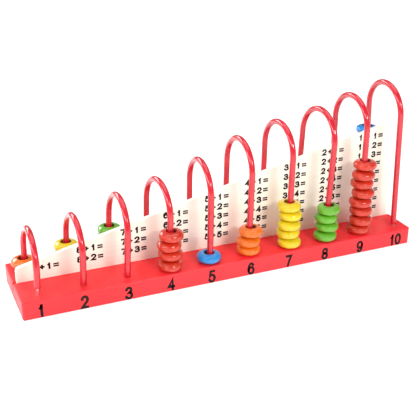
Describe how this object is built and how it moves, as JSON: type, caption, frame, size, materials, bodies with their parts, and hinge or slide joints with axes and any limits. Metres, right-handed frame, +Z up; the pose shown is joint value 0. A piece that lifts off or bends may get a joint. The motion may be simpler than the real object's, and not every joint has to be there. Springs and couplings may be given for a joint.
{
  "type": "abacus",
  "caption": "Bead abacus for a child: bent wire arches in red sleeves carry painted wooden beads over a sloping sum board on a red wooden base.",
  "frame": {"origin": "centre of the underside of the base, on the surface that it stands on", "axes": "+X along the base from the low end to the high end, +Y from the numbered front to the back, +Z up"},
  "size_m": [0.3001, 0.0608, 0.1239],
  "materials": {
    "base_paint": "glossy red paint over wood",
    "board_wood": "pale sanded wood, clear matt varnish",
    "wire_steel": "bright drawn wire",
    "sleeve_plastic": "glossy red soft plastic tube",
    "bead_orange": "glossy orange paint over wood",
    "bead_yellow": "glossy yellow paint over wood",
    "bead_green": "glossy green paint over wood",
    "bead_red": "glossy red paint over wood",
    "bead_blue": "glossy blue paint over wood",
    "print_black": "matt black printing ink"
  },
  "bodies": {
    "stand": {"base": "base_paint", "board": "board_wood", "wires": "wire_steel", "sleeves": "sleeve_plastic"},
    "arch_1_back_bead_1": {"arch_1_back_bead_1": "bead_orange"},
    "arch_2_back_bead_1": {"arch_2_back_bead_1": "bead_yellow"},
    "arch_2_back_bead_2": {"arch_2_back_bead_2": "bead_yellow"},
    "arch_3_back_bead_1": {"arch_3_back_bead_1": "bead_green"},
    "arch_3_back_bead_2": {"arch_3_back_bead_2": "bead_green"},
    "arch_3_back_bead_3": {"arch_3_back_bead_3": "bead_green"},
    "arch_4_front_bead_1": {"arch_4_front_bead_1": "bead_red"},
    "arch_4_front_bead_2": {"arch_4_front_bead_2": "bead_red"},
    "arch_4_front_bead_3": {"arch_4_front_bead_3": "bead_red"},
    "arch_4_front_bead_4": {"arch_4_front_bead_4": "bead_red"},
    "arch_5_front_bead_1": {"arch_5_front_bead_1": "bead_blue"},
    "arch_5_back_bead_1": {"arch_5_back_bead_1": "bead_blue"},
    "arch_5_back_bead_2": {"arch_5_back_bead_2": "bead_blue"},
    "arch_5_back_bead_3": {"arch_5_back_bead_3": "bead_blue"},
    "arch_5_back_bead_4": {"arch_5_back_bead_4": "bead_blue"},
    "arch_6_front_bead_1": {"arch_6_front_bead_1": "bead_orange"},
    "arch_6_front_bead_2": {"arch_6_front_bead_2": "bead_orange"},
    "arch_6_front_bead_3": {"arch_6_front_bead_3": "bead_orange"},
    "arch_6_back_bead_1": {"arch_6_back_bead_1": "bead_orange"},
    "arch_6_back_bead_2": {"arch_6_back_bead_2": "bead_orange"},
    "arch_6_back_bead_3": {"arch_6_back_bead_3": "bead_orange"},
    "arch_7_front_bead_1": {"arch_7_front_bead_1": "bead_yellow"},
    "arch_7_front_bead_2": {"arch_7_front_bead_2": "bead_yellow"},
    "arch_7_front_bead_3": {"arch_7_front_bead_3": "bead_yellow"},
    "arch_7_front_bead_4": {"arch_7_front_bead_4": "bead_yellow"},
    "arch_7_front_bead_5": {"arch_7_front_bead_5": "bead_yellow"},
    "arch_7_back_bead_1": {"arch_7_back_bead_1": "bead_yellow"},
    "arch_7_back_bead_2": {"arch_7_back_bead_2": "bead_yellow"},
    "arch_8_front_bead_1": {"arch_8_front_bead_1": "bead_green"},
    "arch_8_front_bead_2": {"arch_8_front_bead_2": "bead_green"},
    "arch_8_front_bead_3": {"arch_8_front_bead_3": "bead_green"},
    "arch_8_front_bead_4": {"arch_8_front_bead_4": "bead_green"},
    "arch_8_back_bead_1": {"arch_8_back_bead_1": "bead_green"},
    "arch_8_back_bead_2": {"arch_8_back_bead_2": "bead_green"},
    "arch_8_back_bead_3": {"arch_8_back_bead_3": "bead_green"},
    "arch_8_back_bead_4": {"arch_8_back_bead_4": "bead_green"},
    "arch_9_front_bead_1": {"arch_9_front_bead_1": "bead_red"},
    "arch_9_front_bead_2": {"arch_9_front_bead_2": "bead_red"},
    "arch_9_front_bead_3": {"arch_9_front_bead_3": "bead_red"},
    "arch_9_front_bead_4": {"arch_9_front_bead_4": "bead_red"},
    "arch_9_front_bead_5": {"arch_9_front_bead_5": "bead_red"},
    "arch_9_front_bead_6": {"arch_9_front_bead_6": "bead_red"},
    "arch_9_front_bead_7": {"arch_9_front_bead_7": "bead_red"},
    "arch_9_front_bead_8": {"arch_9_front_bead_8": "bead_red"},
    "arch_9_back_bead_1": {"arch_9_back_bead_1": "bead_red"},
    "arch_10_back_bead_1": {"arch_10_back_bead_1": "bead_blue"},
    "arch_10_back_bead_2": {"arch_10_back_bead_2": "bead_blue"},
    "arch_10_back_bead_3": {"arch_10_back_bead_3": "bead_blue"},
    "arch_10_back_bead_4": {"arch_10_back_bead_4": "bead_blue"},
    "arch_10_back_bead_5": {"arch_10_back_bead_5": "bead_blue"},
    "arch_10_back_bead_6": {"arch_10_back_bead_6": "bead_blue"},
    "arch_10_back_bead_7": {"arch_10_back_bead_7": "bead_blue"},
    "arch_10_back_bead_8": {"arch_10_back_bead_8": "bead_blue"},
    "arch_10_back_bead_9": {"arch_10_back_bead_9": "bead_blue"},
    "arch_10_back_bead_10": {"arch_10_back_bead_10": "bead_blue"}
  },
  "joints": [
    {"name": "arch_1_back_bead_1_slide", "type": "slide", "parent": "stand", "child": "arch_1_back_bead_1", "axis": [0.0349, 0, 0.9994], "range_m": [0, 0.01119]},
    {"name": "arch_2_back_bead_1_slide", "type": "slide", "parent": "stand", "child": "arch_2_back_bead_1", "axis": [0.0349, 0, 0.9994], "range_m": [0, 0.00429]},
    {"name": "arch_2_back_bead_2_slide", "type": "slide", "parent": "arch_2_back_bead_1", "child": "arch_2_back_bead_2", "axis": [0.0349, 0, 0.9994], "range_m": [0, 0.00429]},
    {"name": "arch_3_back_bead_1_slide", "type": "slide", "parent": "stand", "child": "arch_3_back_bead_1", "axis": [0.0436, 0, 0.999], "range_m": [0, 0.00392]},
    {"name": "arch_3_back_bead_2_slide", "type": "slide", "parent": "arch_3_back_bead_1", "child": "arch_3_back_bead_2", "axis": [0.0436, 0, 0.999], "range_m": [0, 0.00392]},
    {"name": "arch_3_back_bead_3_slide", "type": "slide", "parent": "arch_3_back_bead_2", "child": "arch_3_back_bead_3", "axis": [0.0436, 0, 0.999], "range_m": [0, 0.00392]},
    {"name": "arch_4_front_bead_1_slide", "type": "slide", "parent": "stand", "child": "arch_4_front_bead_1", "axis": [0.0262, 0, 0.9997], "range_m": [0, 0.00264]},
    {"name": "arch_4_front_bead_2_slide", "type": "slide", "parent": "arch_4_front_bead_1", "child": "arch_4_front_bead_2", "axis": [0.0262, 0, 0.9997], "range_m": [0, 0.00264]},
    {"name": "arch_4_front_bead_3_slide", "type": "slide", "parent": "arch_4_front_bead_2", "child": "arch_4_front_bead_3", "axis": [0.0262, 0, 0.9997], "range_m": [0, 0.00264]},
    {"name": "arch_4_front_bead_4_slide", "type": "slide", "parent": "arch_4_front_bead_3", "child": "arch_4_front_bead_4", "axis": [0.0262, 0, 0.9997], "range_m": [0, 0.00264]},
    {"name": "arch_5_front_bead_1_slide", "type": "slide", "parent": "stand", "child": "arch_5_front_bead_1", "axis": [0.0087, 0, 1], "range_m": [0, 0.04284]},
    {"name": "arch_5_back_bead_1_slide", "type": "slide", "parent": "stand", "child": "arch_5_back_bead_1", "axis": [0.0087, 0, 1], "range_m": [0, 0.00549]},
    {"name": "arch_5_back_bead_2_slide", "type": "slide", "parent": "arch_5_back_bead_1", "child": "arch_5_back_bead_2", "axis": [0.0087, 0, 1], "range_m": [0, 0.00549]},
    {"name": "arch_5_back_bead_3_slide", "type": "slide", "parent": "arch_5_back_bead_2", "child": "arch_5_back_bead_3", "axis": [0.0087, 0, 1], "range_m": [0, 0.00549]},
    {"name": "arch_5_back_bead_4_slide", "type": "slide", "parent": "arch_5_back_bead_3", "child": "arch_5_back_bead_4", "axis": [0.0087, 0, 1], "range_m": [0, 0.00549]},
    {"name": "arch_6_front_bead_1_slide", "type": "slide", "parent": "stand", "child": "arch_6_front_bead_1", "axis": [0.0175, 0, 0.9998], "range_m": [0, 0.01349]},
    {"name": "arch_6_front_bead_2_slide", "type": "slide", "parent": "arch_6_front_bead_1", "child": "arch_6_front_bead_2", "axis": [0.0175, 0, 0.9998], "range_m": [0, 0.01349]},
    {"name": "arch_6_front_bead_3_slide", "type": "slide", "parent": "arch_6_front_bead_2", "child": "arch_6_front_bead_3", "axis": [0.0175, 0, 0.9998], "range_m": [0, 0.01349]},
    {"name": "arch_6_back_bead_1_slide", "type": "slide", "parent": "stand", "child": "arch_6_back_bead_1", "axis": [0.0175, 0, 0.9998], "range_m": [0, 0.01349]},
    {"name": "arch_6_back_bead_2_slide", "type": "slide", "parent": "arch_6_back_bead_1", "child": "arch_6_back_bead_2", "axis": [0.0175, 0, 0.9998], "range_m": [0, 0.01349]},
    {"name": "arch_6_back_bead_3_slide", "type": "slide", "parent": "arch_6_back_bead_2", "child": "arch_6_back_bead_3", "axis": [0.0175, 0, 0.9998], "range_m": [0, 0.01349]},
    {"name": "arch_7_front_bead_1_slide", "type": "slide", "parent": "stand", "child": "arch_7_front_bead_1", "axis": [0.0087, 0, 1], "range_m": [0, 0.00695]},
    {"name": "arch_7_front_bead_2_slide", "type": "slide", "parent": "arch_7_front_bead_1", "child": "arch_7_front_bead_2", "axis": [0.0087, 0, 1], "range_m": [0, 0.00695]},
    {"name": "arch_7_front_bead_3_slide", "type": "slide", "parent": "arch_7_front_bead_2", "child": "arch_7_front_bead_3", "axis": [0.0087, 0, 1], "range_m": [0, 0.00695]},
    {"name": "arch_7_front_bead_4_slide", "type": "slide", "parent": "arch_7_front_bead_3", "child": "arch_7_front_bead_4", "axis": [0.0087, 0, 1], "range_m": [0, 0.00695]},
    {"name": "arch_7_front_bead_5_slide", "type": "slide", "parent": "arch_7_front_bead_4", "child": "arch_7_front_bead_5", "axis": [0.0087, 0, 1], "range_m": [0, 0.00695]},
    {"name": "arch_7_back_bead_1_slide", "type": "slide", "parent": "stand", "child": "arch_7_back_bead_1", "axis": [0.0087, 0, 1], "range_m": [0, 0.02804]},
    {"name": "arch_7_back_bead_2_slide", "type": "slide", "parent": "arch_7_back_bead_1", "child": "arch_7_back_bead_2", "axis": [0.0087, 0, 1], "range_m": [0, 0.02804]},
    {"name": "arch_8_front_bead_1_slide", "type": "slide", "parent": "stand", "child": "arch_8_front_bead_1", "axis": [0.0349, 0, 0.9994], "range_m": [0, 0.01207]},
    {"name": "arch_8_front_bead_2_slide", "type": "slide", "parent": "arch_8_front_bead_1", "child": "arch_8_front_bead_2", "axis": [0.0349, 0, 0.9994], "range_m": [0, 0.01207]},
    {"name": "arch_8_front_bead_3_slide", "type": "slide", "parent": "arch_8_front_bead_2", "child": "arch_8_front_bead_3", "axis": [0.0349, 0, 0.9994], "range_m": [0, 0.01207]},
    {"name": "arch_8_front_bead_4_slide", "type": "slide", "parent": "arch_8_front_bead_3", "child": "arch_8_front_bead_4", "axis": [0.0349, 0, 0.9994], "range_m": [0, 0.01207]},
    {"name": "arch_8_back_bead_1_slide", "type": "slide", "parent": "stand", "child": "arch_8_back_bead_1", "axis": [0.0349, 0, 0.9994], "range_m": [0, 0.01207]},
    {"name": "arch_8_back_bead_2_slide", "type": "slide", "parent": "arch_8_back_bead_1", "child": "arch_8_back_bead_2", "axis": [0.0349, 0, 0.9994], "range_m": [0, 0.01207]},
    {"name": "arch_8_back_bead_3_slide", "type": "slide", "parent": "arch_8_back_bead_2", "child": "arch_8_back_bead_3", "axis": [0.0349, 0, 0.9994], "range_m": [0, 0.01207]},
    {"name": "arch_8_back_bead_4_slide", "type": "slide", "parent": "arch_8_back_bead_3", "child": "arch_8_back_bead_4", "axis": [0.0349, 0, 0.9994], "range_m": [0, 0.01207]},
    {"name": "arch_9_front_bead_1_slide", "type": "slide", "parent": "stand", "child": "arch_9_front_bead_1", "axis": [-0.0087, 0, 1], "range_m": [0, 0.00317]},
    {"name": "arch_9_front_bead_2_slide", "type": "slide", "parent": "arch_9_front_bead_1", "child": "arch_9_front_bead_2", "axis": [-0.0087, 0, 1], "range_m": [0, 0.00317]},
    {"name": "arch_9_front_bead_3_slide", "type": "slide", "parent": "arch_9_front_bead_2", "child": "arch_9_front_bead_3", "axis": [-0.0087, 0, 1], "range_m": [0, 0.00317]},
    {"name": "arch_9_front_bead_4_slide", "type": "slide", "parent": "arch_9_front_bead_3", "child": "arch_9_front_bead_4", "axis": [-0.0087, 0, 1], "range_m": [0, 0.00317]},
    {"name": "arch_9_front_bead_5_slide", "type": "slide", "parent": "arch_9_front_bead_4", "child": "arch_9_front_bead_5", "axis": [-0.0087, 0, 1], "range_m": [0, 0.00317]},
    {"name": "arch_9_front_bead_6_slide", "type": "slide", "parent": "arch_9_front_bead_5", "child": "arch_9_front_bead_6", "axis": [-0.0087, 0, 1], "range_m": [0, 0.00317]},
    {"name": "arch_9_front_bead_7_slide", "type": "slide", "parent": "arch_9_front_bead_6", "child": "arch_9_front_bead_7", "axis": [-0.0087, 0, 1], "range_m": [0, 0.00317]},
    {"name": "arch_9_front_bead_8_slide", "type": "slide", "parent": "arch_9_front_bead_7", "child": "arch_9_front_bead_8", "axis": [-0.0087, 0, 1], "range_m": [0, 0.00317]},
    {"name": "arch_9_back_bead_1_slide", "type": "slide", "parent": "stand", "child": "arch_9_back_bead_1", "axis": [-0.0087, 0, 1], "range_m": [0, 0.07649]},
    {"name": "arch_10_back_bead_1_slide", "type": "slide", "parent": "stand", "child": "arch_10_back_bead_1", "axis": [-0.0436, 0, 0.999], "range_m": [0, 0.00212]},
    {"name": "arch_10_back_bead_2_slide", "type": "slide", "parent": "arch_10_back_bead_1", "child": "arch_10_back_bead_2", "axis": [-0.0436, 0, 0.999], "range_m": [0, 0.00212]},
    {"name": "arch_10_back_bead_3_slide", "type": "slide", "parent": "arch_10_back_bead_2", "child": "arch_10_back_bead_3", "axis": [-0.0436, 0, 0.999], "range_m": [0, 0.00212]},
    {"name": "arch_10_back_bead_4_slide", "type": "slide", "parent": "arch_10_back_bead_3", "child": "arch_10_back_bead_4", "axis": [-0.0436, 0, 0.999], "range_m": [0, 0.00212]},
    {"name": "arch_10_back_bead_5_slide", "type": "slide", "parent": "arch_10_back_bead_4", "child": "arch_10_back_bead_5", "axis": [-0.0436, 0, 0.999], "range_m": [0, 0.00212]},
    {"name": "arch_10_back_bead_6_slide", "type": "slide", "parent": "arch_10_back_bead_5", "child": "arch_10_back_bead_6", "axis": [-0.0436, 0, 0.999], "range_m": [0, 0.00212]},
    {"name": "arch_10_back_bead_7_slide", "type": "slide", "parent": "arch_10_back_bead_6", "child": "arch_10_back_bead_7", "axis": [-0.0436, 0, 0.999], "range_m": [0, 0.00212]},
    {"name": "arch_10_back_bead_8_slide", "type": "slide", "parent": "arch_10_back_bead_7", "child": "arch_10_back_bead_8", "axis": [-0.0436, 0, 0.999], "range_m": [0, 0.00212]},
    {"name": "arch_10_back_bead_9_slide", "type": "slide", "parent": "arch_10_back_bead_8", "child": "arch_10_back_bead_9", "axis": [-0.0436, 0, 0.999], "range_m": [0, 0.00212]},
    {"name": "arch_10_back_bead_10_slide", "type": "slide", "parent": "arch_10_back_bead_9", "child": "arch_10_back_bead_10", "axis": [-0.0436, 0, 0.999], "range_m": [0, 0.00212]}
  ]
}
